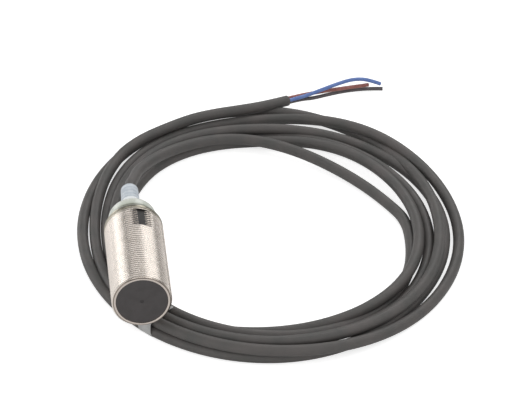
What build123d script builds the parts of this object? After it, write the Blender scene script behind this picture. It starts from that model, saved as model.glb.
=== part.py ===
"""Inductive proximity sensor, M18 x 1, flush, pre-wired, lying on its coiled cable.

Millimetres. The sensor's axis is Y: the sensing face looks towards -Y and its centre is the
origin, the cable leaves towards +Y, and +Z is up. The sensor is potted and has no moving part.
"""

import os
from math import cos, hypot, radians, sin, tan

from build123d import *

os.makedirs("parts", exist_ok=True)

# Threaded barrel, nickel-plated brass
thread_diameter = 18.0
barrel_length = 39.8
barrel_wall = 1.3
front_chamfer = 0.52
rear_chamfer = 0.96  # on the radius
rear_chamfer_length = 1.9
thread_pitch = 1.0
thread_depth = 0.61
thread_crest = 0.25  # length of each crest along the axis
thread_run_out = 1.1  # plain stretch between the thread and the rear chamfer
flat_depth = 0.71  # milled flat, below the thread's crest
flat_length = 8.2
flat_from_rear = 3.7
flat_turn = 15.0  # degrees from the top towards +X

# Play between glued pieces: on the radius, and between faces that are held by the resin
fit_gap = 0.02
seat_gap = 0.05

# Face cap, a moulded cup whose floor is the sensing face
cap_recess = 0.15
cap_floor = 0.8
cap_wall = 0.5
cap_length = 12.0
gate_diameter = 1.2
gate_depth = 0.12

# Shield band and ferrite pot core
shield_wall = 0.25
shield_length = 6.0
core_height = 4.2
core_back = 1.3
core_rim = 1.0
post_diameter = 5.9
post_bore = 3.0

# Winding on its bobbin
bobbin_gap = 0.08
bobbin_wall = 0.35
winding_inset = 0.15
lead_wire = 0.3
lead_hole_gap = 0.1
lead_lift = 0.08  # the leads pass this far above the board

# Holder, and the circuit board in its slot
holder_thickness = 2.6
slot_depth = 1.8
board_gap = 0.05
board_edge_inset = 0.83  # the board is this much narrower than the holder, each side
board_thickness = 0.8
board_end_gap = 1.2

# Components on the board: length, width, height
chip_body = (4.9, 3.9, 1.5)
chip_leg = (0.4, 1.0, 0.2)
chip_leg_pitch = 1.27
chip_standoff = 0.1
transistor_body = (6.5, 3.5, 1.6)
transistor_tab = (3.0, 1.6, 0.3)
transistor_leg_pitch = 2.3
transistor_leg_width = 0.7
diode_body = (2.6, 4.3, 2.1)
diode_cap = (1.5, 0.5, 1.2)
diode_spacing = 6.4
tantalum_body = (2.8, 3.5, 1.9)
tantalum_from_side = 2.4
capacitor_body = (0.8, 1.6, 0.8)
capacitor_spacing = 1.9
capacitors_from_side = 2.6
resistor_body = (0.8, 1.6, 0.45)
resistor_spacing = 1.8
lamp_body = (1.6, 1.2, 0.9)
lamp_from_side = 1.0
lamp_from_rear = 0.9
solder_size = (1.5, 1.2, 0.9)

# Cable: jacket and three insulated cores
cable_diameter = 3.5
core_diameter = 1.25
core_play = 0.02
jacket_past_rim = 1.0  # the jacket's inner end, behind the barrel's rear rim
conductor_settle = 1.4  # the conductors lie together this far before the jacket
conductor_from_rear = 4.0  # the conductors' soldered ends, from the board's rear end
conductor_spacing = 2.6
conductor_lift = 0.2

# Translucent light ring at the rear
ring_step = 1.6  # the ring's radius is this much smaller than the thread's
spigot_length = 2.5
ring_length = 5.4
ring_round = 2.0
ring_mouth_wall = 1.0

# Strain relief
collar_diameter = 8.0
collar_length = 1.8
relief_length = 14.1
relief_base = 6.16
relief_tip = 5.4
relief_round = 0.7
rib_count = 6
rib_pitch = 1.6
rib_groove = 0.7
rib_depth = 0.14
rib_from_ring = 2.2
collar_gap = 0.05

# Coiled cable: an oval, loosely laid ring under the barrel
nut_room = 0.9  # what slides over the thread passes between barrel and coil
coil_height = 7.0
coil_x = 43.2
coil_from_exit = -2.9
coil_outer_width = 120.4
coil_outer_length = 140.6
coil_inner_width = 82.4
coil_inner_length = 103.0
coil_inner_shift = -2.4
coil_end_centre = 20.0
coil_edge_round = 2.0
groove_gap = 0.3

# Tie round the bundle, where it is squeezed
tie_width = 5.2
tie_thickness = 0.6
tie_gap = 0.1
tie_angle = 225.6  # on the coil's oval, anticlockwise from +X
tie_span = 11.6
waist_radius = 34.0

thread_r = thread_diameter / 2
bore_r = thread_r - barrel_wall
cable_r = cable_diameter / 2
core_r = core_diameter / 2


# ---------------------------------------------------------------- barrel
flat_y = barrel_length - flat_from_rear - flat_length / 2
flat_normal = (sin(radians(flat_turn)), 0, cos(radians(flat_turn)))
flat_plane = Plane(origin=(0, flat_y, 0), x_dir=(0, 1, 0), z_dir=flat_normal)
thread_start = front_chamfer + thread_crest
thread_length = barrel_length - rear_chamfer_length - thread_run_out - thread_start
groove_width = thread_pitch - thread_crest
groove_y = [
    thread_start + groove_width / 2 + thread_pitch * i for i in range(int(thread_length / thread_pitch))
]

# The thread is a row of V grooves at its pitch, each a ring round the axis
with BuildPart() as barrel:
    with BuildSketch(Plane.XY):
        with BuildLine():
            Polyline(
                (bore_r, 0),
                (thread_r - front_chamfer, 0),
                (thread_r, front_chamfer),
                (thread_r, barrel_length - rear_chamfer_length),
                (thread_r - rear_chamfer, barrel_length),
                (bore_r, barrel_length),
                close=True,
            )
        make_face()
        with Locations(*[(thread_r, y) for y in groove_y]):
            Polygon(
                (-thread_depth, 0),
                (thread_depth, groove_width),
                (thread_depth, -groove_width),
                align=None,
                mode=Mode.SUBTRACT,
            )
    revolve(axis=Axis.Y)
    with BuildSketch(flat_plane.offset(thread_r - flat_depth)):
        Rectangle(flat_length, thread_diameter)
    extrude(amount=thread_r, mode=Mode.SUBTRACT)

# ---------------------------------------------------------------- face cap
cap_r = bore_r - fit_gap
cap_inner_r = cap_r - cap_wall
core_front = cap_recess + cap_floor
cap_rear = cap_recess + cap_length

with BuildPart() as face_cap:
    with BuildSketch(Plane.XY):
        with BuildLine():
            Polyline(
                (0, cap_recess + gate_depth),
                (gate_diameter / 2, cap_recess + gate_depth),
                (gate_diameter / 2, cap_recess),
                (cap_r, cap_recess),
                (cap_r, cap_rear),
                (cap_inner_r, cap_rear),
                (cap_inner_r, core_front),
                (0, core_front),
                close=True,
            )
        make_face()
    revolve(axis=Axis.Y)

# ---------------------------------------------------------------- shield, core and winding
shield_r = cap_inner_r - seat_gap
core_outer_r = shield_r - shield_wall - seat_gap
core_rear = core_front + core_height
post_r = post_diameter / 2
winding_room_r = core_outer_r - core_rim
winding_depth = core_height - core_back
bobbin_r = winding_room_r - bobbin_gap
bobbin_hub_r = post_r + bobbin_gap + bobbin_wall
bobbin_rear = core_front + winding_depth - bobbin_gap
winding_r = bobbin_r - winding_inset
winding_rear = bobbin_rear - bobbin_wall
board_top = board_thickness / 2
lead_r = lead_wire / 2
lead_x = (bobbin_hub_r + winding_r) / 2
lead_z = board_top + lead_lift + lead_r
lead_holes = [(-lead_x, lead_z), (lead_x, lead_z)]
facing_rear = Plane(origin=(0, 0, 0), x_dir=(1, 0, 0), z_dir=(0, -1, 0))

with BuildPart() as shield_band:
    with BuildSketch(facing_rear.offset(-core_front)):
        Circle(shield_r)
        Circle(shield_r - shield_wall, mode=Mode.SUBTRACT)
    extrude(amount=-shield_length)

with BuildPart() as ferrite_core:
    with BuildSketch(Plane.XY):
        with BuildLine():
            Polyline(
                (post_bore / 2, core_front),
                (post_r, core_front),
                (post_r, core_front + winding_depth),
                (winding_room_r, core_front + winding_depth),
                (winding_room_r, core_front),
                (core_outer_r, core_front),
                (core_outer_r, core_rear),
                (post_bore / 2, core_rear),
                close=True,
            )
        make_face()
    revolve(axis=Axis.Y)
    with BuildSketch(facing_rear.offset(-core_rear)):
        with Locations(*lead_holes):
            Circle(lead_r + lead_hole_gap)
    extrude(amount=core_back, mode=Mode.SUBTRACT)

with BuildPart() as coil_bobbin:
    with BuildSketch(Plane.XY):
        with BuildLine():
            Polyline(
                (post_r + bobbin_gap, core_front),
                (bobbin_r, core_front),
                (bobbin_r, core_front + bobbin_wall),
                (bobbin_hub_r, core_front + bobbin_wall),
                (bobbin_hub_r, winding_rear),
                (bobbin_r, winding_rear),
                (bobbin_r, bobbin_rear),
                (post_r + bobbin_gap, bobbin_rear),
                close=True,
            )
        make_face()
    revolve(axis=Axis.Y)
    with BuildSketch(facing_rear.offset(-bobbin_rear)):
        with Locations(*lead_holes):
            Circle(lead_r + lead_hole_gap)
    extrude(amount=bobbin_wall, mode=Mode.SUBTRACT)

with BuildPart() as coil_winding:
    with BuildSketch(facing_rear.offset(-core_front - bobbin_wall)):
        Circle(winding_r)
        Circle(bobbin_hub_r, mode=Mode.SUBTRACT)
    extrude(amount=core_front + bobbin_wall - winding_rear)

# ---------------------------------------------------------------- holder and circuit board
holder_rear = core_rear + holder_thickness
board_front = holder_rear - slot_depth
board_rear = barrel_length - spigot_length - board_end_gap
board_length = board_rear - board_front
board_width = 2 * (core_outer_r - board_edge_inset)
lead_end = holder_rear + solder_size[1]
conductor_start = board_rear - conductor_from_rear

with BuildPart() as board_holder:
    with BuildSketch(facing_rear.offset(-core_rear)):
        Circle(core_outer_r)
    extrude(amount=-holder_thickness)
    with BuildSketch(facing_rear.offset(-holder_rear)):
        Rectangle(board_width + 2 * board_gap, board_thickness + 2 * board_gap)
    extrude(amount=slot_depth, mode=Mode.SUBTRACT)
    with BuildSketch(facing_rear.offset(-holder_rear)):
        with Locations(*lead_holes):
            Circle(lead_r + lead_hole_gap)
    extrude(amount=holder_thickness, mode=Mode.SUBTRACT)

with BuildPart() as circuit_board:
    with BuildSketch(Plane.XY.offset(-board_top)):
        with Locations((0, board_front + board_length / 2)):
            Rectangle(board_width, board_length)
    extrude(amount=board_thickness)

with BuildPart() as coil_leads:
    with BuildSketch(facing_rear.offset(-winding_rear)):
        with Locations(*lead_holes):
            Circle(lead_r)
    extrude(amount=winding_rear - lead_end)

# ---------------------------------------------------------------- components on the board
top_side = Plane.XY.offset(board_top)
under_side = Plane.XY.offset(-board_top)
chip_row = chip_body[1] / 2 + chip_leg[1] / 2
diode_cap_y = diode_body[1] / 2 + diode_cap[1] / 2
diode_half = diode_body[1] / 2 + diode_cap[1]

# Between the two rows of solder joints, the components lie evenly spaced along each side
free_front = lead_end + solder_size[1]
free_length = conductor_start - solder_size[1] - free_front
top_gap = (free_length - chip_body[0] - tantalum_body[1] - 2 * diode_half) / 4
chip_y = free_front + top_gap + chip_body[0] / 2
capacitors_y = chip_y + chip_body[0] / 2 + top_gap + tantalum_body[1] / 2
diode_y = capacitors_y + tantalum_body[1] / 2 + top_gap + diode_half
transistor_length = transistor_body[1] + 2 * transistor_tab[1]
under_gap = (free_length - resistor_body[1] - transistor_length) / 3
resistor_y = free_front + under_gap + resistor_body[1] / 2
transistor_y = resistor_y + resistor_body[1] / 2 + under_gap + transistor_length / 2

with BuildPart() as oscillator_chip:
    with BuildSketch(top_side.offset(chip_standoff)):
        with Locations((0, chip_y)):
            Rectangle(chip_body[1], chip_body[0])
    extrude(amount=chip_body[2])
    chamfer(oscillator_chip.faces().sort_by(Axis.Z)[-1].edges(), length=chip_leg[2])
    with BuildSketch(top_side):
        with Locations((-chip_row, chip_y), (chip_row, chip_y)):
            with GridLocations(1, chip_leg_pitch, 1, 4):
                Rectangle(chip_leg[1] + 2 * chip_standoff, chip_leg[0])
    extrude(amount=chip_leg[2])

transistor_leg_y = transistor_y + transistor_body[1] / 2 + transistor_tab[1] / 2
transistor_tab_y = transistor_y - transistor_body[1] / 2 - transistor_tab[1] / 2

with BuildPart() as output_transistor:
    with BuildSketch(under_side):
        with Locations((0, transistor_y)):
            Rectangle(transistor_body[0], transistor_body[1])
    extrude(amount=-transistor_body[2])
    chamfer(output_transistor.faces().sort_by(Axis.Z)[0].edges(), length=chip_leg[2])
    with BuildSketch(under_side):
        with Locations((0, transistor_tab_y)):
            Rectangle(transistor_tab[0], transistor_tab[1])
        with Locations((0, transistor_leg_y)):
            with GridLocations(transistor_leg_pitch, 1, 3, 1):
                Rectangle(transistor_leg_width, transistor_tab[1])
    extrude(amount=-transistor_tab[2])

with BuildPart() as surge_diodes:
    with BuildSketch(top_side):
        with Locations((0, diode_y)):
            with GridLocations(diode_spacing, 1, 2, 1):
                Rectangle(diode_body[0], diode_body[1])
    extrude(amount=diode_body[2])
    with BuildSketch(top_side):
        with Locations((0, diode_y)):
            with GridLocations(diode_spacing, 2 * diode_cap_y, 2, 2):
                Rectangle(diode_cap[0], diode_cap[1])
    extrude(amount=diode_cap[2])

with BuildPart() as tantalum_capacitor:
    with BuildSketch(top_side):
        with Locations((board_width / 2 - tantalum_from_side, capacitors_y)):
            Rectangle(tantalum_body[0], tantalum_body[1])
    extrude(amount=tantalum_body[2])
    chamfer(tantalum_capacitor.faces().sort_by(Axis.Z)[-1].edges(), length=chip_leg[2])

with BuildPart() as chip_capacitors:
    with BuildSketch(top_side):
        with Locations((capacitors_from_side - board_width / 2, capacitors_y)):
            with GridLocations(capacitor_spacing, 1, 3, 1):
                Rectangle(capacitor_body[0], capacitor_body[1])
    extrude(amount=capacitor_body[2])

with BuildPart() as chip_resistors:
    with BuildSketch(under_side):
        with Locations((0, resistor_y)):
            with GridLocations(resistor_spacing, 1, 5, 1):
                Rectangle(resistor_body[0], resistor_body[1])
    extrude(amount=-resistor_body[2])

with BuildPart() as indicator_leds:
    for side in (top_side, under_side):
        with BuildSketch(side):
            with Locations((0, board_rear - lamp_from_rear)):
                with GridLocations(board_width - 2 * lamp_from_side, 1, 2, 1):
                    Rectangle(lamp_body[0], lamp_body[1])
        extrude(amount=lamp_body[2] if side is top_side else -lamp_body[2])

# ---------------------------------------------------------------- light ring and strain relief
ring_r = thread_r - ring_step
spigot_r = bore_r - fit_gap
spigot_front = barrel_length - spigot_length
ring_rear = barrel_length + ring_length
collar_r = collar_diameter / 2
mouth_r = relief_base / 2
collar_rear = ring_rear - ring_mouth_wall
collar_front = collar_rear - collar_length
relief_end = ring_rear + relief_length

with BuildPart() as light_ring:
    with BuildSketch(Plane.XY):
        with BuildLine():
            Polyline(
                (collar_r + collar_gap, spigot_front),
                (spigot_r, spigot_front),
                (spigot_r, barrel_length),
                (ring_r, barrel_length),
                (ring_r, ring_rear - ring_round),
            )
            RadiusArc(
                (ring_r, ring_rear - ring_round),
                (ring_r - ring_round, ring_rear),
                -ring_round,
            )
            Polyline(
                (ring_r - ring_round, ring_rear),
                (mouth_r + collar_gap, ring_rear),
                (mouth_r + collar_gap, collar_rear),
                (collar_r + collar_gap, collar_rear),
                (collar_r + collar_gap, spigot_front),
            )
        make_face()
    revolve(axis=Axis.Y)

relief_tip_r = relief_tip / 2
rib_start = ring_rear + rib_from_ring
rib_y = [rib_start + rib_pitch * i for i in range(rib_count)]


def relief_r(y):
    """Radius of the strain relief's taper at this place along the axis."""
    share = (y - collar_rear) / (relief_end - collar_rear)
    return mouth_r + (relief_tip_r - mouth_r) * share


with BuildPart() as strain_relief:
    with BuildSketch(Plane.XY):
        with BuildLine():
            Polyline(
                (cable_r, collar_front),
                (collar_r, collar_front),
                (collar_r, collar_rear),
                (mouth_r, collar_rear),
                (relief_tip_r, relief_end),
                (cable_r, relief_end),
                close=True,
            )
        make_face()
        for y in rib_y:
            with Locations((relief_r(y), y)):
                Rectangle(2 * rib_depth, rib_groove, mode=Mode.SUBTRACT)
    revolve(axis=Axis.Y)
    tip_edges = strain_relief.edges().filter_by(GeomType.CIRCLE).group_by(Axis.Y)[-1]
    fillet(tip_edges.sort_by(SortBy.RADIUS)[-1], radius=relief_round)

# ---------------------------------------------------------------- cable inside the sensor
strip_y = barrel_length + jacket_past_rim
bundle_r = (core_r + core_play) / sin(radians(60))
jacket_bore_r = bundle_r + core_r + core_play
conductor_z = board_top + conductor_lift + core_r


def corner_radii(points):
    """One radius for each inner corner: as large as its two runs allow."""
    radii = []
    for before, corner, after in zip(points, points[1:], points[2:]):
        run_in = Vector(*corner) - Vector(*before)
        run_out = Vector(*after) - Vector(*corner)
        turn = run_in.get_angle(run_out)
        radii.append(0.45 * min(run_in.length, run_out.length) / tan(radians(turn / 2)))
    return radii


def conductor_route(pad_x, angle):
    """From the soldered end on the board to the core's place inside the jacket."""
    inside = (bundle_r * cos(radians(angle)), bundle_r * sin(radians(angle)))
    return [
        (pad_x, conductor_start, conductor_z),
        (pad_x, board_rear + conductor_lift, conductor_z),
        (inside[0], strip_y - conductor_settle, inside[1]),
        (inside[0], relief_end, inside[1]),
    ]


brown_inner_route = conductor_route(-conductor_spacing, 210)
black_inner_route = conductor_route(0, 90)
blue_inner_route = conductor_route(conductor_spacing, 330)

with BuildPart() as cable_inner:
    with BuildSketch(facing_rear.offset(-strip_y)):
        Circle(cable_r)
        Circle(jacket_bore_r, mode=Mode.SUBTRACT)
    extrude(amount=strip_y - relief_end)

with BuildPart() as brown_conductor:
    with BuildLine() as brown_inner_line:
        FilletPolyline(brown_inner_route, radius=corner_radii(brown_inner_route))
    with BuildSketch(Plane(origin=brown_inner_line.line @ 0, z_dir=(0, 1, 0))):
        Circle(core_r)
    sweep()

with BuildPart() as blue_conductor:
    with BuildLine() as blue_inner_line:
        FilletPolyline(blue_inner_route, radius=corner_radii(blue_inner_route))
    with BuildSketch(Plane(origin=blue_inner_line.line @ 0, z_dir=(0, 1, 0))):
        Circle(core_r)
    sweep()

with BuildPart() as black_conductor:
    with BuildLine() as black_inner_line:
        FilletPolyline(black_inner_route, radius=corner_radii(black_inner_route))
    with BuildSketch(Plane(origin=black_inner_line.line @ 0, z_dir=(0, 1, 0))):
        Circle(core_r)
    sweep()

with BuildPart() as solder_joints:
    with BuildSketch(top_side):
        with Locations((0, conductor_start - solder_size[1] / 2)):
            with GridLocations(conductor_spacing, 1, 3, 1):
                Rectangle(solder_size[0], solder_size[1])
        with Locations((0, lead_end + solder_size[1] / 2)):
            with GridLocations(2 * lead_x, 1, 2, 1):
                Rectangle(solder_size[0], solder_size[1])
    extrude(amount=solder_size[2], taper=12)

# ---------------------------------------------------------------- potting resin
inner_pieces = [
    circuit_board,
    coil_leads,
    oscillator_chip,
    output_transistor,
    surge_diodes,
    tantalum_capacitor,
    chip_capacitors,
    chip_resistors,
    indicator_leds,
    solder_joints,
    brown_conductor,
    blue_conductor,
    black_conductor,
]

with BuildPart() as potting_resin:
    with BuildSketch(Plane.XY):
        with BuildLine():
            Polyline(
                (0, holder_rear),
                (cap_inner_r - fit_gap, holder_rear),
                (cap_inner_r - fit_gap, cap_rear),
                (bore_r - fit_gap, cap_rear),
                (bore_r - fit_gap, spigot_front),
                (collar_r - fit_gap, spigot_front),
                (collar_r - fit_gap, collar_front),
                (0, collar_front),
                close=True,
            )
        make_face()
    revolve(axis=Axis.Y)
    with BuildSketch(facing_rear.offset(-strip_y)):
        Circle(cable_r)
    extrude(amount=strip_y - relief_end, mode=Mode.SUBTRACT)
    for piece in inner_pieces:
        add(piece.part, mode=Mode.SUBTRACT)

# ---------------------------------------------------------------- free cable
floor_z = -(thread_r + nut_room + coil_height)
exit_y = relief_end
lying = floor_z + cable_r  # height of a cable's centre on the surface below

lead_route = [
    (0.0, exit_y, 0.0),
    (0.0, exit_y + 8.0, 0.0),
    (2.9, exit_y + 16.8, -2.2),
    (8.6, exit_y + 25.8, lying + 9.1),
    (14.5, exit_y + 34.3, lying + 6.1),
    (22.8, exit_y + 40.9, lying + 3.8),
    (32.5, exit_y + 44.3, lying + 2.4),
    (43.5, exit_y + 43.1, lying + 1.8),
    (54.5, exit_y + 37.7, lying + 1.2),
    (65.0, exit_y + 29.3, lying + 0.5),
    (73.8, exit_y + 20.1, lying + 0.1),
    (80.6, exit_y + 9.5, lying),
    (85.0, exit_y - 2.3, lying),
    (86.2, exit_y - 12.8, lying),
]

end_route = [
    (21.5, exit_y + 55.9, lying + 3.5),
    (30.5, exit_y + 58.9, lying + 3.5),
    (39.5, exit_y + 60.6, lying + 3.4),
    (48.5, exit_y + 63.1, lying + 2.9),
    (57.1, exit_y + 67.0, lying + 1.8),
]

print("lead radii", [round(r, 1) for r in corner_radii(lead_route)])
print("end radii", [round(r, 1) for r in corner_radii(end_route)])

with BuildPart() as cable_lead:
    with BuildLine() as lead_line:
        FilletPolyline(lead_route, radius=corner_radii(lead_route))
    with BuildSketch(Plane(origin=lead_line.line @ 0, z_dir=lead_line.line % 0)):
        Circle(cable_r)
    sweep()

with BuildPart() as cable_end:
    with BuildLine() as end_line:
        FilletPolyline(end_route, radius=corner_radii(end_route))
    with BuildSketch(Plane(origin=end_line.line @ 0, z_dir=end_line.line % 0)):
        Circle(cable_r)
    sweep()

# ---------------------------------------------------------------- coil and tie
coil_y = exit_y + coil_from_exit
outer_width_r = coil_outer_width / 2
outer_length_r = coil_outer_length / 2
inner_width_r = coil_inner_width / 2
inner_length_r = coil_inner_length / 2


def oval(half_width, half_length, centre_y):
    """A four-arc oval, its end arcs centred at coil_end_centre from its middle."""
    excess = half_length - half_width
    side_centre = excess * (2 * coil_end_centre - excess) / (2 * (coil_end_centre - excess))
    end_r = half_length - coil_end_centre
    side_r = half_width + side_centre
    span = hypot(side_centre, coil_end_centre)
    touch_x = side_centre / span * end_r
    touch_y = coil_end_centre + coil_end_centre / span * end_r
    right_low = (coil_x + touch_x, centre_y - touch_y)
    right_high = (coil_x + touch_x, centre_y + touch_y)
    left_low = (coil_x - touch_x, centre_y - touch_y)
    left_high = (coil_x - touch_x, centre_y + touch_y)
    RadiusArc(right_low, right_high, -side_r)
    RadiusArc(right_high, left_high, -end_r)
    RadiusArc(left_high, left_low, -side_r)
    RadiusArc(left_low, right_low, -end_r)


tie_turn = radians(tie_angle)
tie_reach = Vector(outer_width_r * cos(tie_turn), outer_length_r * sin(tie_turn), 0)
tie_outer = Vector(coil_x, coil_y, 0) + tie_reach
tie_along = Vector(-outer_width_r * sin(tie_turn), outer_length_r * cos(tie_turn), 0).normalized()
tie_inwards = Vector(-tie_along.Y, tie_along.X, 0)
waist_inner = tie_outer + tie_inwards * (tie_span - tie_thickness)
waist_centre = waist_inner + tie_inwards * waist_radius
tie_height = coil_height
tie_rise = Vector(0, 0, floor_z + tie_height / 2)
tie_middle = tie_outer + tie_inwards * (tie_span / 2 - tie_thickness) + tie_rise
tie_plane = Plane(origin=tie_middle, x_dir=tie_inwards, z_dir=tie_along)
squeezed_span = tie_span - 2 * (tie_thickness + tie_gap)
squeezed_height = tie_height - 2 * (tie_thickness + tie_gap)

with BuildPart() as tie_groove:
    with BuildSketch(tie_plane.offset(-tie_width / 2 - groove_gap)):
        Rectangle(tie_span + tie_width, tie_height + tie_width)
        RectangleRounded(squeezed_span, squeezed_height, coil_edge_round, mode=Mode.SUBTRACT)
    extrude(amount=tie_width + 2 * groove_gap)

with BuildPart() as cable_tie:
    with BuildSketch(tie_plane.offset(-tie_width / 2)):
        RectangleRounded(tie_span, tie_height, coil_edge_round + tie_gap + tie_thickness)
        RectangleRounded(
            tie_span - 2 * tie_thickness,
            tie_height - 2 * tie_thickness,
            coil_edge_round + tie_gap,
            mode=Mode.SUBTRACT,
        )
    extrude(amount=tie_width)

with BuildPart() as lead_groove:
    with BuildSketch(Plane(origin=lead_line.line @ 0, z_dir=lead_line.line % 0)):
        Circle(cable_r + groove_gap)
    sweep(path=lead_line.line)

with BuildPart() as end_groove:
    with BuildSketch(Plane(origin=end_line.line @ 0, z_dir=end_line.line % 0)):
        Circle(cable_r + groove_gap)
    sweep(path=end_line.line)

with BuildPart() as cable_coil:
    with BuildSketch(Plane.XY.offset(floor_z)):
        with BuildLine():
            oval(outer_width_r, outer_length_r, coil_y)
        make_face()
        with BuildLine():
            oval(inner_width_r, inner_length_r, coil_y + coil_inner_shift)
        make_face(mode=Mode.SUBTRACT)
        with Locations((waist_centre.X, waist_centre.Y)):
            Circle(waist_radius, mode=Mode.SUBTRACT)
    extrude(amount=coil_height)
    rims = cable_coil.faces().filter_by(Axis.Z).edges()
    fillet(rims, radius=coil_edge_round)
    add(tie_groove.part, mode=Mode.SUBTRACT)
    add(lead_groove.part, mode=Mode.SUBTRACT)
    add(end_groove.part, mode=Mode.SUBTRACT)

# ---------------------------------------------------------------- core tails past the jacket
end_place = end_line.line @ 1
end_course = end_line.line % 1
end_plane = Plane(origin=end_place, z_dir=end_course)
end_side = Vector(-end_course.Y, end_course.X, 0).normalized()
end_up = end_course.cross(end_side)
straight_tail = 6.0
tail_ring_r = bundle_r + core_play
tail_floor = floor_z + core_r + core_play


def tail_start(angle):
    """Centre of one core where it leaves the jacket, its angle seen along the cable."""
    turn = radians(angle)
    return end_place + (end_side * cos(turn) + end_up * sin(turn)) * tail_ring_r


def tail_route(angle, points):
    """Straight out of the jacket, then through these points: x, y past the exit, height."""
    start = tail_start(angle)
    first = start + end_course * straight_tail
    route = [(start.X, start.Y, start.Z), (first.X, first.Y, max(first.Z, tail_floor))]
    return route + [(x, exit_y + y, tail_floor + height) for x, y, height in points]


blue_tail_route = tail_route(30, [(69.5, 72.2, 3.4), (77.0, 74.6, 3.6), (83.4, 76.4, 3.0), (88.9, 77.3, 1.6)])
brown_tail_route = tail_route(150, [(70.2, 70.9, 1.5), (77.8, 74.2, 1.35), (84.8, 77.2, 1.1)])
black_tail_route = tail_route(270, [(70.5, 72.0, 0.2), (79.8, 75.0, 0.0), (89.4, 76.5, 0.05)])

with BuildPart() as blue_core:
    with BuildLine() as blue_line:
        FilletPolyline(blue_tail_route, radius=corner_radii(blue_tail_route))
    with BuildSketch(Plane(origin=blue_line.line @ 0, z_dir=end_course)):
        Circle(core_r)
    sweep()

with BuildPart() as brown_core:
    with BuildLine() as brown_line:
        FilletPolyline(brown_tail_route, radius=corner_radii(brown_tail_route))
    with BuildSketch(Plane(origin=brown_line.line @ 0, z_dir=end_course)):
        Circle(core_r)
    sweep()

with BuildPart() as black_core:
    with BuildLine() as black_line:
        FilletPolyline(black_tail_route, radius=corner_radii(black_tail_route))
    with BuildSketch(Plane(origin=black_line.line @ 0, z_dir=end_course)):
        Circle(core_r)
    sweep()

# ---------------------------------------------------------------- labels and files
pieces = {
    "barrel": barrel,
    "face_cap": face_cap,
    "shield_band": shield_band,
    "ferrite_core": ferrite_core,
    "coil_bobbin": coil_bobbin,
    "coil_winding": coil_winding,
    "coil_leads": coil_leads,
    "board_holder": board_holder,
    "circuit_board": circuit_board,
    "oscillator_chip": oscillator_chip,
    "output_transistor": output_transistor,
    "surge_diodes": surge_diodes,
    "tantalum_capacitor": tantalum_capacitor,
    "chip_capacitors": chip_capacitors,
    "chip_resistors": chip_resistors,
    "indicator_leds": indicator_leds,
    "solder_joints": solder_joints,
    "light_ring": light_ring,
    "strain_relief": strain_relief,
    "cable_inner": cable_inner,
    "brown_conductor": brown_conductor,
    "blue_conductor": blue_conductor,
    "black_conductor": black_conductor,
    "potting_resin": potting_resin,
    "cable_lead": cable_lead,
    "cable_coil": cable_coil,
    "cable_end": cable_end,
    "brown_core": brown_core,
    "blue_core": blue_core,
    "black_core": black_core,
    "cable_tie": cable_tie,
}

for name, piece in pieces.items():
    piece.part.label = name
    export_step(piece.part, f"parts/{name}.step")
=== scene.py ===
"""Looks of an inductive proximity sensor, M18 x 1, flush, lying on its own coiled cable.

Metres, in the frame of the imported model: the sensor's axis is Y, its sensing face looks
towards -Y with its centre at the origin, and +Z is up.
"""

from math import cos, radians, sin, tau

import bmesh
import bpy
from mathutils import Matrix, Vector


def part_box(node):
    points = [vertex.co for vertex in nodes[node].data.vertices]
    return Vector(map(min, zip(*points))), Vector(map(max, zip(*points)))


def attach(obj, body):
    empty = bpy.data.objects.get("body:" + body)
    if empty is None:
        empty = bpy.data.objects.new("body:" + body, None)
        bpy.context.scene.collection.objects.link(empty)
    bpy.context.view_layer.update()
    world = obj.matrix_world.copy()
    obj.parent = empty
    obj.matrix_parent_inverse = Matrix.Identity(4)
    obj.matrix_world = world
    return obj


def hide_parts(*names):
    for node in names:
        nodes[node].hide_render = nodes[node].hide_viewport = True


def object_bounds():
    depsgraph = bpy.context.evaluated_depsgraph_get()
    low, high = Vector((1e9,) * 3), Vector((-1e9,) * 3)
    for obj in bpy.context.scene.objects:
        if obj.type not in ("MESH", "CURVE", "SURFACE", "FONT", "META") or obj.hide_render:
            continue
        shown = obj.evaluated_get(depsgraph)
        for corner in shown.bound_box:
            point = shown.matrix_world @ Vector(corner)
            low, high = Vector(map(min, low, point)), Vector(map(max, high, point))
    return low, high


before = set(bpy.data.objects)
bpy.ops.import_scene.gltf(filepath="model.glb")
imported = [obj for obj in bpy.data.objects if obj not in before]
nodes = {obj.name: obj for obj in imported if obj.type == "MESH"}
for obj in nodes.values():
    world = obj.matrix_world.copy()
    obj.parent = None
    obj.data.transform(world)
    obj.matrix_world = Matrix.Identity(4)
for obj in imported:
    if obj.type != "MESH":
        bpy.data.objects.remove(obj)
cad_low, cad_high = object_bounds()
MM = 0.001

scene = bpy.context.scene
scene.view_settings.view_transform = "Standard"

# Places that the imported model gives
floor_z = cad_low.z
barrel_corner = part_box("barrel")[1]
thread_r = barrel_corner.x
barrel_length = barrel_corner.y
ring_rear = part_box("light_ring")[1].y
relief_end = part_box("strain_relief")[1].y

# Cable and its cores
cable_r = 1.75 * MM
core_r = 0.625 * MM

# Barrel, with an M18 x 1 thread
pitch = 1 * MM
thread_depth = 0.61 * MM
thread_lead_in = 0.5 * MM
thread_fade = (barrel_length - 3.5 * MM, barrel_length - 2 * MM)
front_rim_r = 8.48 * MM
front_edge_r = 8.22 * MM
rear_rim_r = 8.04 * MM
rear_chamfer_slope = 0.505
rim_round = 0.08 * MM
barrel_bore_r = 7.7 * MM
barrel_around = 144

# Milled flat, near the barrel's rear end and turned from the top towards +X
flat_turn = radians(15)
flat_distance = thread_r - 0.69 * MM
flat_length = 8.2 * MM
flat_middle = barrel_length - 3.7 * MM - flat_length / 2
cutter_width = 1.4 * thread_r
cutter_height = 3 * MM

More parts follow.
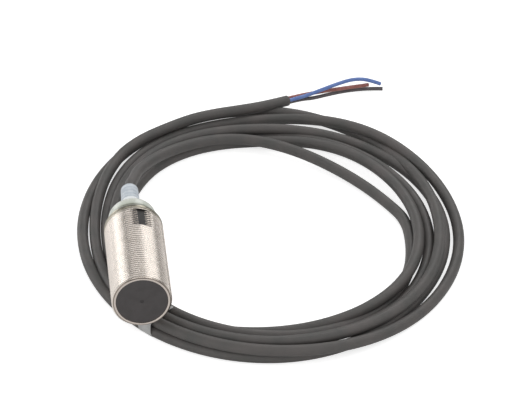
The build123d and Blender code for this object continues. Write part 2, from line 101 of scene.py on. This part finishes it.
# Strain relief, a tapered sleeve with grooves round it
relief_base_r = 3.08 * MM
relief_tip_r = 2.7 * MM
relief_front = ring_rear - 0.95 * MM
relief_bend = Vector((0.15 * MM, 0, 0.15 * MM))
first_groove = ring_rear + 2.2 * MM
groove_pitch = 1.6 * MM
groove_count = 6
groove_width = 0.7 * MM
groove_edge = 0.154 * MM
groove_depth = 0.14 * MM
tip_round = 0.7 * MM
tip_steps = 5
sleeve_play = 0.05 * MM
mouth_width = 0.1 * MM
mouth_depth = 0.15 * MM
relief_around = 48

# Tie, a band round the bundle: it starts at the coil's outer edge, along the cable's course there
tie_outer = Vector((1.1, 6.2, 0)) * MM
tie_along = Vector((0.658, -0.753, 0))
tie_inwards = Vector((-tie_along.y, tie_along.x, 0))
tie_stands_out = 0.6 * MM
tie_width = 5.2 * MM
tie_span = 11.6 * MM
tie_height = 7.0 * MM
tie_corner = 2.6 * MM
tie_thickness = 0.5 * MM
tie_around = 64


def piece(name, data, material):
    """A new piece in the object's frame, with its material."""
    made = bpy.data.objects.new(name, data)
    scene.collection.objects.link(made)
    data.materials.append(material)
    return made


# ---------------------------------------------------------------- camera
camera_elevation = 34.1
camera_azimuth = -5.6
camera_data = bpy.data.cameras.new("camera")
camera_data.lens = 232.7
camera_data.sensor_width = 36
camera_data.clip_end = 20
camera_data.shift_x = -0.00095
camera_data.shift_y = 0.00095
camera = bpy.data.objects.new("camera", camera_data)
camera.location = (-0.0437, -0.8118, 0.5841)
camera.rotation_euler = (radians(90 - camera_elevation), 0, radians(camera_azimuth))
scene.collection.objects.link(camera)
scene.camera = camera


# ---------------------------------------------------------------- shader helpers
def tone(code):
    """An sRGB hex colour as the linear one that a shader takes."""
    parts = [int(code[k : k + 2], 16) / 255 for k in (0, 2, 4)]
    return (*(c / 12.92 if c <= 0.04045 else ((c + 0.055) / 1.055) ** 2.4 for c in parts), 1.0)


def add(tree, kind, inputs=None, **settings):
    """Adds a node: sockets or nodes given as inputs are linked, anything else is set."""
    made = tree.nodes.new("ShaderNode" + kind)
    for name, value in settings.items():
        setattr(made, name, value)
    for name, value in (inputs or {}).items():
        if isinstance(value, bpy.types.Node):
            value = value.outputs[0]
        if isinstance(value, bpy.types.NodeSocket):
            tree.links.new(value, made.inputs[name])
        else:
            made.inputs[name].default_value = value
    return made


def new_material(name):
    """An empty material: (material, tree, output, place in metres)."""
    made = bpy.data.materials.new(name)
    made.use_nodes = True
    tree = made.node_tree
    tree.nodes.clear()
    output = add(tree, "OutputMaterial")
    place = add(tree, "TexCoord").outputs["Object"]
    return made, tree, output, place


def ramp(tree, factor, *stops):
    """A ramp through (position, hex, cover) stops. The cover is its alpha."""
    made = add(tree, "ValToRGB", {"Fac": factor})
    while len(made.color_ramp.elements) < len(stops):
        made.color_ramp.elements.new(0.5)
    for element, (position, code, cover) in zip(made.color_ramp.elements, stops):
        element.position = position
        element.color = (*tone(code)[:3], cover)
    return made


def laid_over(tree, below, value, start, end, *stops):
    """Lays (position, hex, cover) stops over a colour, as value goes from start to end."""
    share = add(tree, "MapRange", {"Value": value, "From Min": start, "From Max": end})
    over = ramp(tree, share, *stops)
    # Sockets by number: a mix node has a factor, two values and a result for each kind of data
    inputs = {0: over.outputs["Alpha"], 6: below, 7: over.outputs["Color"]}
    return add(tree, "Mix", inputs, data_type="RGBA").outputs[2]


def turned_place(tree, place):
    """(place along the sensor's axis, distance from it), in metres."""
    parts = add(tree, "SeparateXYZ", {0: place})
    across = add(tree, "CombineXYZ", {"X": parts.outputs["X"], "Z": parts.outputs["Z"]})
    length = add(tree, "VectorMath", {0: across}, operation="LENGTH")
    return parts.outputs["Y"], length.outputs["Value"]


def finish(name, tones, patch, grit, rough, bump, over=None, **shader):
    """A finish whose tone wanders between two in patches, over a fine grit.

    tones is (light, dark), patch and grit are sizes in millimetres, rough is (least, most) and
    bump a height in millimetres. over lays more tones over the colour, and the rest are the
    shader's own sockets.
    """
    made, tree, output, place = new_material(name)
    light, dark = tones
    clouds = add(tree, "TexNoise", {"Vector": place, "Scale": 1 / (patch * MM), "Detail": 3.0})
    grains = add(tree, "TexNoise", {"Vector": place, "Scale": 1 / (grit * MM), "Detail": 2.0})
    colour = ramp(tree, clouds.outputs["Fac"], (0.36, dark, 1.0), (0.64, light, 1.0)).outputs["Color"]
    if over:
        colour = over(tree, place, colour)
    least, most = rough
    spread = {"From Min": 0.3, "From Max": 0.7, "To Min": least, "To Max": most}
    gloss = add(tree, "MapRange", {"Value": grains.outputs["Fac"], **spread})
    relief = add(tree, "Bump", {"Height": grains.outputs["Fac"], "Strength": 1.0, "Distance": bump * MM})
    sockets = {"Base Color": colour, "Roughness": gloss, "Normal": relief, **shader}
    surface = add(tree, "BsdfPrincipled", sockets)
    tree.links.new(surface.outputs["BSDF"], output.inputs["Surface"])
    return made


# ---------------------------------------------------------------- tones laid over a finish
def barrel_tones(tree, place, colour):
    """Painted shade in the thread's roots, a dull turned rim in front with a line of painted shade behind
    its edge, and a painted olive reflection of the light ring beside it, deepening to painted shade towards
    the joint.
    """
    along, out = turned_place(tree, place)
    # Painted shade in the thread's roots: full at the root, and fading out on the flanks before the crest
    painted_root_shade = [(0.0, "bfb5ab", 1.0), (0.3, "bfb5ab", 0.8), (0.65, "bfb5ab", 0.0)]
    colour = laid_over(tree, colour, out, thread_r - thread_depth, thread_r, *painted_root_shade)
    # The rim itself is dull, and a line of painted shade runs just behind its edge
    rim = [(0.0, "d0c6be", 0.9), (0.04, "d0c6be", 0.9)]
    rim += [(0.1, "857b72", 1.0), (0.45, "857b72", 1.0), (0.75, "857b72", 0.0)]
    colour = laid_over(tree, colour, along, 0, 0.3 * MM, *rim)
    # Painted olive reflection of the green light ring over the barrel's last millimetres, deepening to
    # painted shade towards the joint
    painted_reflection_and_shade = [(0.0, "858270", 0.0), (0.3, "858270", 0.7), (0.8, "7f7d69", 0.8), (1.0, "69695a", 0.95)]
    return laid_over(tree, colour, along, barrel_length - 4 * MM, barrel_length - 1.4 * MM, *painted_reflection_and_shade)


def ring_tones(tree, place, colour):
    """Painted olive shade at the ring's joint with the barrel, paling to painted light towards its mouth."""
    along, _ = turned_place(tree, place)
    # Painted shade at the joint with the barrel, and painted light at the mouth
    painted_joint_shade = [(0.0, "5f6150", 1.0), (0.17, "626453", 1.0)]
    body = [(0.3, "bfc4b6", 0.8), (0.5, "cfd3c9", 0.2)]
    painted_mouth_light = [(0.8, "eceeea", 0.7), (1.0, "f0f3f1", 1.0)]
    return laid_over(tree, colour, along, barrel_length, ring_rear, *painted_joint_shade, *body, *painted_mouth_light)


def relief_tones(tree, place, colour):
    """Painted bluish shade in the grooves, and near white laid over the sleeve's front part, fading out by
    its fourth groove.
    """
    along, _ = turned_place(tree, place)
    # One wave to a groove, highest in the middle of the groove
    wave = {0: along, 1: tau / groove_pitch, 2: -tau * first_groove / groove_pitch}
    wave = add(tree, "Math", wave, operation="MULTIPLY_ADD")
    wave = add(tree, "Math", {0: wave}, operation="COSINE")
    # Painted shade, bluish grey and deepest in the middle of each groove
    colour = laid_over(tree, colour, wave, 0.1, 1.0, (0.0, "9dabb9", 0.0), (1.0, "9dabb9", 0.4))
    # Near white over the front part of the sleeve, up to its fourth groove
    foot = [(0.0, "f4f7f8", 0.95), (1.0, "f4f7f8", 0.0)]
    return laid_over(tree, colour, along, ring_rear + 6.2 * MM, ring_rear + 7 * MM, *foot)


def cap_tones(tree, place, colour):
    """Painted shade of the gate's dimple in the middle of the face."""
    _, out = turned_place(tree, place)
    # Painted shade: a dark disc where the gate's dimple is
    painted_dimple_shade = [(0.0, "2c2a2a", 0.75), (1.0, "2c2a2a", 0.0)]
    return laid_over(tree, colour, out, 0.55 * MM, 0.68 * MM, *painted_dimple_shade)


# ---------------------------------------------------------------- finishes that show
# Nickel plate on turned brass: bright and slightly warm, hazed a little by handling
nickel_plate = finish(
    "nickel_plated_brass",
    ("f1e8e0", "eae1d8"),
    patch=5,
    grit=0.35,
    rough=(0.2, 0.28),
    bump=0.001,
    over=barrel_tones,
    Metallic=1.0,
)
# Blackened milled brass: nearly black and dull, so that the flat stands out from the plate
black_oxide = finish(
    "blackened_milled_brass", ("2b2726", "1c1a19"), patch=0.8, grit=0.12, rough=(0.5, 0.65), bump=0.01
)
# Moulded PBT of the face: matt dark grey with the fine grain of a spark-eroded mould
face_pbt = finish(
    "moulded_pbt",
    ("464242", "403c3c"),
    patch=3,
    grit=0.12,
    rough=(0.42, 0.56),
    bump=0.004,
    over=cap_tones,
)
# Translucent polycarbonate of the light ring: milky, with a green tint and a soft gloss
ring_pc = finish(
    "translucent_polycarbonate",
    ("dcdfd7", "d0d4c9"),
    patch=4,
    grit=0.3,
    rough=(0.22, 0.32),
    bump=0.002,
    over=ring_tones,
)
# Soft translucent TPU of the strain relief: bluish white and satin
relief_tpu = finish(
    "translucent_tpu",
    ("d6dce2", "c9d1d9"),
    patch=2.5,
    grit=0.2,
    rough=(0.3, 0.42),
    bump=0.004,
    over=relief_tones,
)
# Extruded PVC jacket: matt dark grey, faintly clouded every few millimetres
jacket_pvc = finish(
    "extruded_pvc_jacket", ("5c5856", "51504e"), patch=7, grit=0.16, rough=(0.5, 0.62), bump=0.006
)
# Extruded PVC of the cores: smoother than the jacket, with a low gloss that shows their curl
core_tones = {"blue": ("6d89c6", "5d79b9"), "brown": ("a4675e", "93574e"), "black": ("615b5d", "534e50")}
core_pvc = {
    colour: finish(f"{colour}_pvc_core", tones, patch=2, grit=0.1, rough=(0.3, 0.42), bump=0.002)
    for colour, tones in core_tones.items()
}
# Nylon tie: light grey and satin, with a faint grain
tie_nylon = finish("grey_nylon_tie", ("c2c2c1", "b5b5b4"), patch=2, grit=0.15, rough=(0.35, 0.5), bump=0.006)


# ---------------------------------------------------------------- cable
# The cable lies in an oval coil. Its turns are given by stations at every eighth of a turn,
# clockwise from the right: the centre's inset from the coil's outer oval, and its height
# above the floor, in millimetres. Each line holds half a turn.
coil_x, coil_y = 43.2, 56.4
coil_half_width, coil_half_length = 59.7, 70.0
stations = [
    (16.7, 1.75), (11.8, 1.75), (11.7, 2.4), (8.4, 5.1),
    (13.6, 1.75), (14.7, 1.75), (20.4, 1.75), (17.9, 4.0),
    (13.9, 4.2), (11.5, 5.1), (15.2, 1.75), (9.4, 1.9),
    (15.4, 4.9), (11.6, 1.75), (17.2, 1.75), (13.9, 1.75),
    (10.3, 1.75), (8.5, 1.75), (8.6, 2.9), (5.9, 1.9),
    (11.0, 4.9), (11.9, 4.9), (17.5, 4.8), (9.5, 1.9),
    (5.0, 1.75), (5.1, 1.75), (2.2, 1.75), (0.6, 1.9),
    (1.2, 1.75), (1.3, 1.75), (1.2, 1.75), (5.4, 1.75),
    (7.0, 4.8), (4.6, 5.2), (5.5, 4.9), (4.9, 5.0),
    (8.8, 1.75), (6.6, 2.3), (7.9, 1.9), (4.8, 4.8),
    (0.7, 1.75), (0.6, 2.0), (1.0, 4.8), (1.5, 5.0),
    (5.2, 1.75), (2.9, 4.9),
]
station_turn = 45
steps_between = 3
lie = floor_z / MM + 1.75
lead_points = [
    (0.15, 59.0, 0.15),
    (0.5, 63.0, -0.5),
    (2.2, 69.5, -2.6),
    (3.5, 76.2, -4.7),
    (6.6, 83.4, -6.8),
    (11.4, 91.6, -9.2),
    (18.3, 98.6, -11.1),
    (27.3, 103.8, -12.3),
    (37.5, 105.1, -12.9),
    (47.5, 101.9, -13.1),
    (57.5, 95.4, -13.4),
    (67.0, 87.0, -14.2),
    (75.5, 77.0, -14.9),
    (82.2, 65.6, lie),
]
end_points = [
    (21.5, 115.2, lie + 3.5),
    (30.5, 118.2, lie + 3.5),
    (39.5, 119.9, lie + 3.4),
    (48.5, 122.4, lie + 2.9),
    (56.2, 126.8, lie + 1.8),
]


def between(values, share):
    """A smooth passage from the second of four values to the third."""
    a, b, c, d = values
    steep = (c - a) + (2 * a - 5 * b + 4 * c - d) * share + (3 * b - a - 3 * c + d) * share**2
    return b + 0.5 * share * steep


def coil_points():
    """The coil's turns: the stations, and two points between one and the next."""
    last = len(stations) - 1
    made = []
    for k in range(last * steps_between + 1):
        index, share = divmod(k / steps_between, 1)
        near = [stations[min(max(int(index) + j, 0), last)] for j in (-1, 0, 1, 2)]
        inset = between([s[0] for s in near], share)
        height = max(between([s[1] for s in near], share), cable_r / MM)
        turn = radians(-station_turn * k / steps_between)
        x = coil_x + (coil_half_width - inset) * cos(turn)
        y = coil_y + (coil_half_length - inset) * sin(turn)
        made.append((x, y, floor_z / MM + height))
    return made


def cord_curve(name, points, radius, material):
    """A round cord on one smooth spline through the course of these points, in millimetres."""
    data = bpy.data.curves.new(name, "CURVE")
    data.dimensions = "3D"
    data.bevel_depth = radius
    data.bevel_resolution = 6
    data.use_fill_caps = True
    data.resolution_u = 6
    spline = data.splines.new("NURBS")
    spline.points.add(len(points) - 1)
    for point, (x, y, z) in zip(spline.points, points):
        point.co = (x * MM, y * MM, z * MM, 1)
    spline.order_u = 3
    spline.use_endpoint_u = True
    return piece(name, data, material)


cable = cord_curve("cable", lead_points + coil_points() + end_points, cable_r, jacket_pvc)
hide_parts("cable_lead", "cable_coil", "cable_end")
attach(cable, "root")

# Core tails: out of the jacket's cut end, each on its own way down to the floor. Each has its
# turn round the jacket's axis in degrees, and points whose heights are above tail_floor.
end_place = Vector(end_points[-1])
end_course = (end_place - Vector(end_points[-2])).normalized()
end_side = Vector((-end_course.y, end_course.x, 0)).normalized()
end_up = end_course.cross(end_side)
tail_floor = (floor_z + core_r) / MM + 0.02
tail_ring = 0.765
tail_straight = 6
blue_points = [
    (67.5, 130.4, 3.95),
    (73.2, 132.1, 5.0),
    (78.5, 133.9, 5.4),
    (83.5, 135.0, 4.5),
    (88.1, 136.0, 1.75),
]
brown_points = [
    (67.6, 131.4, 2.75),
    (73.4, 132.9, 2.55),
    (84.1, 135.5, 1.95),
]
black_points = [
    (64.7, 129.8, 1.35),
    (70.5, 132.1, 1.15),
    (76.3, 134.5, 0.65),
    (84.2, 136.1, 0.15),
    (88.9, 135.6, 0.05),
]
tails = {"blue": (150, blue_points), "brown": (30, brown_points), "black": (270, black_points)}
for colour, (angle, points) in tails.items():
    turn = radians(angle)
    start = end_place + (end_side * cos(turn) + end_up * sin(turn)) * tail_ring
    first = start + end_course * tail_straight
    route = [tuple(start - end_course), (first.x, first.y, max(first.z, tail_floor))]
    route += [(x, y, tail_floor + z) for x, y, z in points]
    tail = cord_curve(f"{colour}_core_tail", route, core_r, core_pvc[colour])
    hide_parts(f"{colour}_core")
    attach(tail, "root")


# ---------------------------------------------------------------- mesh helpers
def closed_mesh(rows):
    """A mesh from rings of points: each ring joined to the next, and the last to the first."""
    mesh = bmesh.new()
    rings = [[mesh.verts.new(point) for point in row] for row in rows]
    for ring, following in zip(rings, rings[1:] + rings[:1]):
        for k in range(len(ring)):
            j = (k + 1) % len(ring)
            mesh.faces.new((ring[k], ring[j], following[j], following[k]))
    return mesh


def into_data(mesh, name):
    """Turns the working mesh into smooth-shaded mesh data with its faces outwards."""
    bmesh.ops.recalc_face_normals(mesh, faces=mesh.faces)
    data = bpy.data.meshes.new(name)
    mesh.to_mesh(data)
    mesh.free()
    data.polygons.foreach_set("use_smooth", [True] * len(data.polygons))
    return data


# ---------------------------------------------------------------- threaded barrel
# One pitch of the thread, from crest to crest: (share of the pitch, share of the depth)
thread_form = [(0.0, 0.0), (0.08, 0.0), (0.26, 0.5), (0.44, 1.0), (0.68, 1.0), (0.84, 0.5)]


def barrel_radius(y, depth_share):
    """Radius of the threaded surface, with its chamfers and the thread's run-out."""
    fade_in = min(max(y / thread_lead_in, 0), 1)
    fade_out = min(max((thread_fade[1] - y) / (thread_fade[1] - thread_fade[0]), 0), 1)
    threaded = thread_r - thread_depth * depth_share * fade_in * fade_out
    front = front_rim_r + y - rim_round
    rear = rear_rim_r + (barrel_length - rim_round - y) * rear_chamfer_slope
    return min(threaded, front, rear)


def thread_row(mesh, number, phase, depth_share):
    """One row along the helix, from its start at the side of +X once round the barrel."""
    row = []
    for k in range(barrel_around + 1):
        share = k / barrel_around
        y = pitch * (number + phase + share)
        y = min(max(y, rim_round), barrel_length - rim_round)
        r = barrel_radius(y, depth_share)
        row.append(mesh.verts.new((r * cos(tau * share), y, r * sin(tau * share))))
    return row


def rim_loops(mesh):
    """Loops round the axis: from the front rim through the bore to the rear rim."""
    rims = [
        (rim_round, front_rim_r),
        (0.0, front_edge_r),
        (0.0, barrel_bore_r + rim_round),
        (rim_round, barrel_bore_r),
        (barrel_length - rim_round, barrel_bore_r),
        (barrel_length, barrel_bore_r + rim_round),
        (barrel_length, rear_rim_r - rim_round),
        (barrel_length - rim_round, rear_rim_r),
    ]
    turns = [tau * k / barrel_around for k in range(barrel_around)]
    return [[mesh.verts.new((r * cos(turn), y, r * sin(turn))) for turn in turns] for y, r in rims]


def barrel_mesh():
    """The helical thread, its rows following one another, closed by the rims and the bore."""
    mesh = bmesh.new()
    turns = int(barrel_length / pitch) + 1
    rows = [thread_row(mesh, number, *form) for number in range(-1, turns) for form in thread_form]
    for row, following in zip(rows, rows[1:]):
        for k in range(barrel_around):
            mesh.faces.new((row[k], row[k + 1], following[k + 1], following[k]))
    loops = rim_loops(mesh)
    for loop, following in zip(loops, loops[1:]):
        for k in range(barrel_around):
            j = (k + 1) % barrel_around
            mesh.faces.new((loop[k], loop[j], following[j], following[k]))
    weld = 0.0005 * MM
    bmesh.ops.remove_doubles(mesh, verts=mesh.verts, dist=weld)
    bmesh.ops.dissolve_degenerate(mesh, edges=mesh.edges, dist=weld)
    return mesh


def flat_cutter_mesh():
    """A block that stands on the milled flat."""
    mesh = bmesh.new()
    bmesh.ops.create_cube(mesh, size=1)
    for vert in mesh.verts:
        across = vert.co.x * cutter_width
        up = flat_distance + (vert.co.z + 0.5) * cutter_height
        vert.co = (
            across * cos(flat_turn) + up * sin(flat_turn),
            flat_middle + vert.co.y * flat_length,
            up * cos(flat_turn) - across * sin(flat_turn),
        )
    return mesh


barrel = piece("threaded_barrel", into_data(barrel_mesh(), "threaded_barrel"), nickel_plate)
# The flat cuts through the thread's crests, and near its middle through the roots
cutter = piece("flat_cutter", into_data(flat_cutter_mesh(), "flat_cutter"), black_oxide)
cut = barrel.modifiers.new("flat", "BOOLEAN")
cut.operation = "DIFFERENCE"
cut.solver = "EXACT"
cut.material_mode = "TRANSFER"
cut.object = cutter
bpy.context.view_layer.update()
cut_data = bpy.data.meshes.new_from_object(barrel.evaluated_get(bpy.context.evaluated_depsgraph_get()))
barrel.modifiers.clear()
barrel.data = cut_data
for face in cut_data.polygons:
    face.use_smooth = face.material_index == 0
bpy.data.objects.remove(cutter)
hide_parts("barrel")
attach(barrel, "root")


# ---------------------------------------------------------------- strain relief
def relief_profile():
    """(place along the axis, radius) of the sleeve: outside to the tip, then back inside."""
    taper = (relief_tip_r - relief_base_r) / (relief_end - relief_front)
    half_mouth = (groove_width + groove_edge) / 2
    half_floor = (groove_width - groove_edge) / 2
    groove = [(-half_mouth, 0), (-half_floor, groove_depth), (half_floor, groove_depth), (half_mouth, 0)]
    outside = [(relief_front, relief_base_r)]
    for k in range(groove_count):
        for shift, depth in groove:
            y = first_groove + groove_pitch * k + shift
            outside.append((y, relief_base_r + taper * (y - relief_front) - depth))
    for k in range(tip_steps + 1):
        turn = radians(90 * k / tip_steps)
        y = relief_end - tip_round * (1 - sin(turn))
        outside.append((y, relief_tip_r - tip_round * (1 - cos(turn))))
    hole = cable_r + sleeve_play
    painted_mouth_light = [(relief_end, hole + mouth_width), (relief_end - mouth_depth, hole)]
    return outside + painted_mouth_light + [(relief_front, hole)]


def relief_rows():
    """Rings of the sleeve, each set off along the bend that the cable's pull gives it."""
    rows = []
    for y, r in relief_profile():
        share = max((y - ring_rear) / (relief_end - ring_rear), 0)
        middle = Vector((0, y, 0)) + relief_bend * share**2
        slope = 2 * share * relief_bend / (relief_end - ring_rear)
        course = (Vector((0, 1, 0)) + slope).normalized()
        side = course.cross(Vector((0, 0, 1))).normalized()
        up = side.cross(course)
        turns = [tau * k / relief_around for k in range(relief_around)]
        rows.append([middle + (side * cos(t) + up * sin(t)) * r for t in turns])
    return rows


relief = piece("strain_relief_sleeve", into_data(closed_mesh(relief_rows()), "sleeve"), relief_tpu)
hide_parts("strain_relief")
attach(relief, "root")


# ---------------------------------------------------------------- tie
def tie_ring(middle, along, inset):
    """A ring of the band round the bundle: a rounded rectangle, that far in from its outside."""
    corner = tie_corner - inset
    across = tie_span / 2 - inset - corner
    upright = tie_height / 2 - inset - corner
    ring = []
    for k in range(tie_around):
        turn = tau * k / tie_around
        x = (1 if cos(turn) > 0 else -1) * across + corner * cos(turn)
        z = (1 if sin(turn) > 0 else -1) * upright + corner * sin(turn)
        ring.append(middle + tie_inwards * x + Vector((0, 0, z)) + tie_along * along)
    return ring


def tie_rows():
    """The band's section, carried round the bundle: its edges are bevelled to both sides."""
    middle = tie_outer + tie_inwards * (tie_span / 2 - tie_stands_out)
    middle += Vector((0, 0, floor_z + tie_height / 2))
    edge, bevel, between_sides = 0.5 * tie_width, 0.46 * tie_width, tie_thickness / 2
    outer = [(-edge, between_sides), (-bevel, 0), (bevel, 0)]
    inner = [(edge, between_sides), (bevel, tie_thickness), (-bevel, tie_thickness)]
    return [tie_ring(middle, along, inset) for along, inset in outer + inner]


tie = piece("bundle_tie", into_data(closed_mesh(tie_rows()), "tie"), tie_nylon)
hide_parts("cable_tie")
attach(tie, "root")


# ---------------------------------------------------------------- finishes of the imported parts
# Rolled brass strip: warm yellow metal, satin from the rolls
brass = finish(
    "half_hard_brass", ("c9a45a", "b48f49"), patch=2, grit=0.2, rough=(0.28, 0.42), bump=0.004, Metallic=1.0
)
# Sintered ferrite: charcoal and dull, with the fine pits of a pressed powder
ferrite = finish("sintered_ferrite", ("3b3a3c", "2e2d2f"), patch=1, grit=0.1, rough=(0.5, 0.7), bump=0.01)
# Glass-filled nylon of the bobbin: cream, mottled by the fibres near its surface
bobbin_nylon = finish(
    "glass_filled_nylon", ("d8d2c4", "c8c1b2"), patch=1, grit=0.1, rough=(0.4, 0.55), bump=0.006
)
# Enamelled copper winding: deep orange metal, uneven like close-laid wire
winding_copper = finish(
    "enamelled_copper", ("b5622f", "964c22"), patch=0.6, grit=0.1, rough=(0.25, 0.4), bump=0.02, Metallic=1.0
)
# Enamelled copper of the leads: the same metal, smoother on a single wire
lead_copper = finish(
    "enamelled_copper_lead",
    ("b5622f", "9c5226"),
    patch=0.6,
    grit=0.1,
    rough=(0.25, 0.4),
    bump=0.004,
    Metallic=1.0,
)
# Moulded nylon of the holder: off-white and matt
holder_nylon = finish(
    "moulded_nylon", ("e2ded3", "d4cfc3"), patch=1, grit=0.1, rough=(0.4, 0.55), bump=0.006
)
# Solder mask on glass epoxy: green and fairly glossy, mottled a little by the glass under it
solder_mask = finish(
    "soldermask_on_glass_epoxy", ("1f6b3c", "185830"), patch=0.8, grit=0.1, rough=(0.3, 0.42), bump=0.01
)
# Moulded epoxy of chip and transistor: near black and dull, with specks of filler
chip_epoxy = finish(
    "epoxy_chip_body", ("2c2b2d", "242325"), patch=0.6, grit=0.08, rough=(0.5, 0.65), bump=0.006
)
transistor_epoxy = finish(
    "epoxy_transistor_body", ("2c2b2d", "242325"), patch=0.6, grit=0.08, rough=(0.5, 0.65), bump=0.006
)
# Moulded epoxy of the diodes: a shade greyer than the chip beside them
diode_epoxy = finish(
    "epoxy_diode_body", ("323133", "28272a"), patch=0.6, grit=0.08, rough=(0.5, 0.65), bump=0.006
)
# Moulded epoxy of the tantalum capacitor: amber and matt
tantalum_epoxy = finish(
    "tantalum_epoxy", ("c98a2e", "b87b26"), patch=0.6, grit=0.08, rough=(0.4, 0.5), bump=0.006
)
# Fired barium titanate of the chip capacitors: tan, with a dry surface
titanate = finish(
    "barium_titanate", ("b5966d", "a0845e"), patch=0.4, grit=0.06, rough=(0.4, 0.5), bump=0.004
)
# Glazed alumina of the chip resistors: white, with a light gloss
alumina = finish(
    "glazed_alumina", ("e6e4df", "d5d2cb"), patch=0.4, grit=0.06, rough=(0.25, 0.35), bump=0.004
)
# Cast epoxy lenses of the lamps: yellow, smooth and the glossiest parts of the board
lamp_epoxy = finish(
    "led_epoxy_lens", ("d9c65e", "c9b44e"), patch=0.4, grit=0.06, rough=(0.15, 0.25), bump=0.002
)
# Reflowed tin solder: bright grey metal, slightly frosted
solder = finish(
    "tin_solder", ("c8c9cb", "b3b4b7"), patch=0.4, grit=0.06, rough=(0.25, 0.4), bump=0.01, Metallic=1.0
)
# Cast potting epoxy: dark grey, level and half glossy
potting = finish("potting_epoxy", ("3a3b38", "2e2f2d"), patch=1.5, grit=0.15, rough=(0.25, 0.4), bump=0.006)

packed_finish = {
    "face_cap": face_pbt,
    "light_ring": ring_pc,
    "shield_band": brass,
    "ferrite_core": ferrite,
    "coil_bobbin": bobbin_nylon,
    "coil_winding": winding_copper,
    "coil_leads": lead_copper,
    "board_holder": holder_nylon,
    "circuit_board": solder_mask,
    "oscillator_chip": chip_epoxy,
    "output_transistor": transistor_epoxy,
    "surge_diodes": diode_epoxy,
    "tantalum_capacitor": tantalum_epoxy,
    "chip_capacitors": titanate,
    "chip_resistors": alumina,
    "indicator_leds": lamp_epoxy,
    "solder_joints": solder,
    "cable_inner": jacket_pvc,
    "brown_conductor": core_pvc["brown"],
    "blue_conductor": core_pvc["blue"],
    "black_conductor": core_pvc["black"],
    "potting_resin": potting,
}
for name, material in packed_finish.items():
    for place in nodes[name].material_slots:
        place.material = material


# ---------------------------------------------------------------- floor and world
# Pale paper: it keeps the object's shadow, glows white to the camera, and less in reflections
floor_half = 4
floor_glow = 0.72
mirrored_share = 0.35
floor_mesh = bmesh.new()
bmesh.ops.create_grid(floor_mesh, x_segments=2, y_segments=2, size=floor_half)
floor_finish, tree, output, place = new_material("pale_floor")
sees = add(tree, "LightPath")
mirrored = add(tree, "Math", {0: sees.outputs["Is Glossy Ray"], 1: mirrored_share}, operation="MULTIPLY")
shown = add(tree, "Math", {0: sees.outputs["Is Camera Ray"], 1: mirrored}, operation="ADD")
through = sees.outputs["Is Transmission Ray"]
shown = add(tree, "Math", {0: shown, 1: through}, operation="ADD", use_clamp=True)
glow = add(tree, "Emission", {"Color": tone("ffffff"), "Strength": floor_glow})
paper = add(tree, "BsdfDiffuse", {"Color": tone("dcdcdc")})
bright = add(tree, "AddShader", {0: glow, 1: paper})
mixed = add(tree, "MixShader", {0: shown, 1: paper, 2: bright})
tree.links.new(mixed.outputs[0], output.inputs["Surface"])
floor = piece("floor", into_data(floor_mesh, "floor"), floor_finish)
floor.location.z = floor_z

# The world is white to the camera, and a dim even light to all else
world_level = 0.27
world = bpy.data.worlds.new("studio")
world.use_nodes = True
scene.world = world
tree = world.node_tree
tree.nodes.clear()
sees = add(tree, "LightPath")
level = add(tree, "MapRange", {"Value": sees.outputs["Is Camera Ray"], "To Min": world_level, "To Max": 1.0})
sky = add(tree, "Background", {"Color": tone("ffffff"), "Strength": level})
add(tree, "OutputWorld", {"Surface": sky})


# ---------------------------------------------------------------- lamps
def softbox(name, place, size, power):
    """A rectangular studio lamp at place, turned to the object's middle."""
    data = bpy.data.lights.new(name, "AREA")
    data.shape = "RECTANGLE"
    data.size, data.size_y = size
    data.energy = power
    lamp = bpy.data.objects.new(name, data)
    lamp.location = place
    middle = Vector((0.04, 0.05, 0))
    lamp.rotation_euler = (middle - Vector(place)).to_track_quat("-Z", "Y").to_euler()
    scene.collection.objects.link(lamp)


# The two high ones in front and behind light the coil, and the others are mostly there to be
# mirrored in the barrel's flanks and rim
softbox("rear_high", (0.05, 0.75, 1.05), (1.2, 0.5), 3.4)
softbox("front_high", (0.05, -0.75, 1.0), (1.2, 0.5), 2.0)
softbox("left", (-0.95, 0.0, 0.47), (0.8, 1.15), 3.1)
softbox("right_high", (0.74, 0.0, 0.95), (0.6, 0.95), 2.8)
softbox("right_low", (1.0, 0.12, 0.22), (0.6, 0.35), 0.4)
softbox("front_left", (-0.6, -0.75, 0.22), (0.45, 0.35), 1.2)
softbox("front_right", (0.48, -0.8, 0.4), (0.45, 0.55), 1.2)
softbox("rear_left", (-0.62, 0.85, 0.12), (0.45, 0.35), 1.4)
softbox("rear_right", (0.36, 0.9, 0.5), (0.28, 0.4), 1.2)
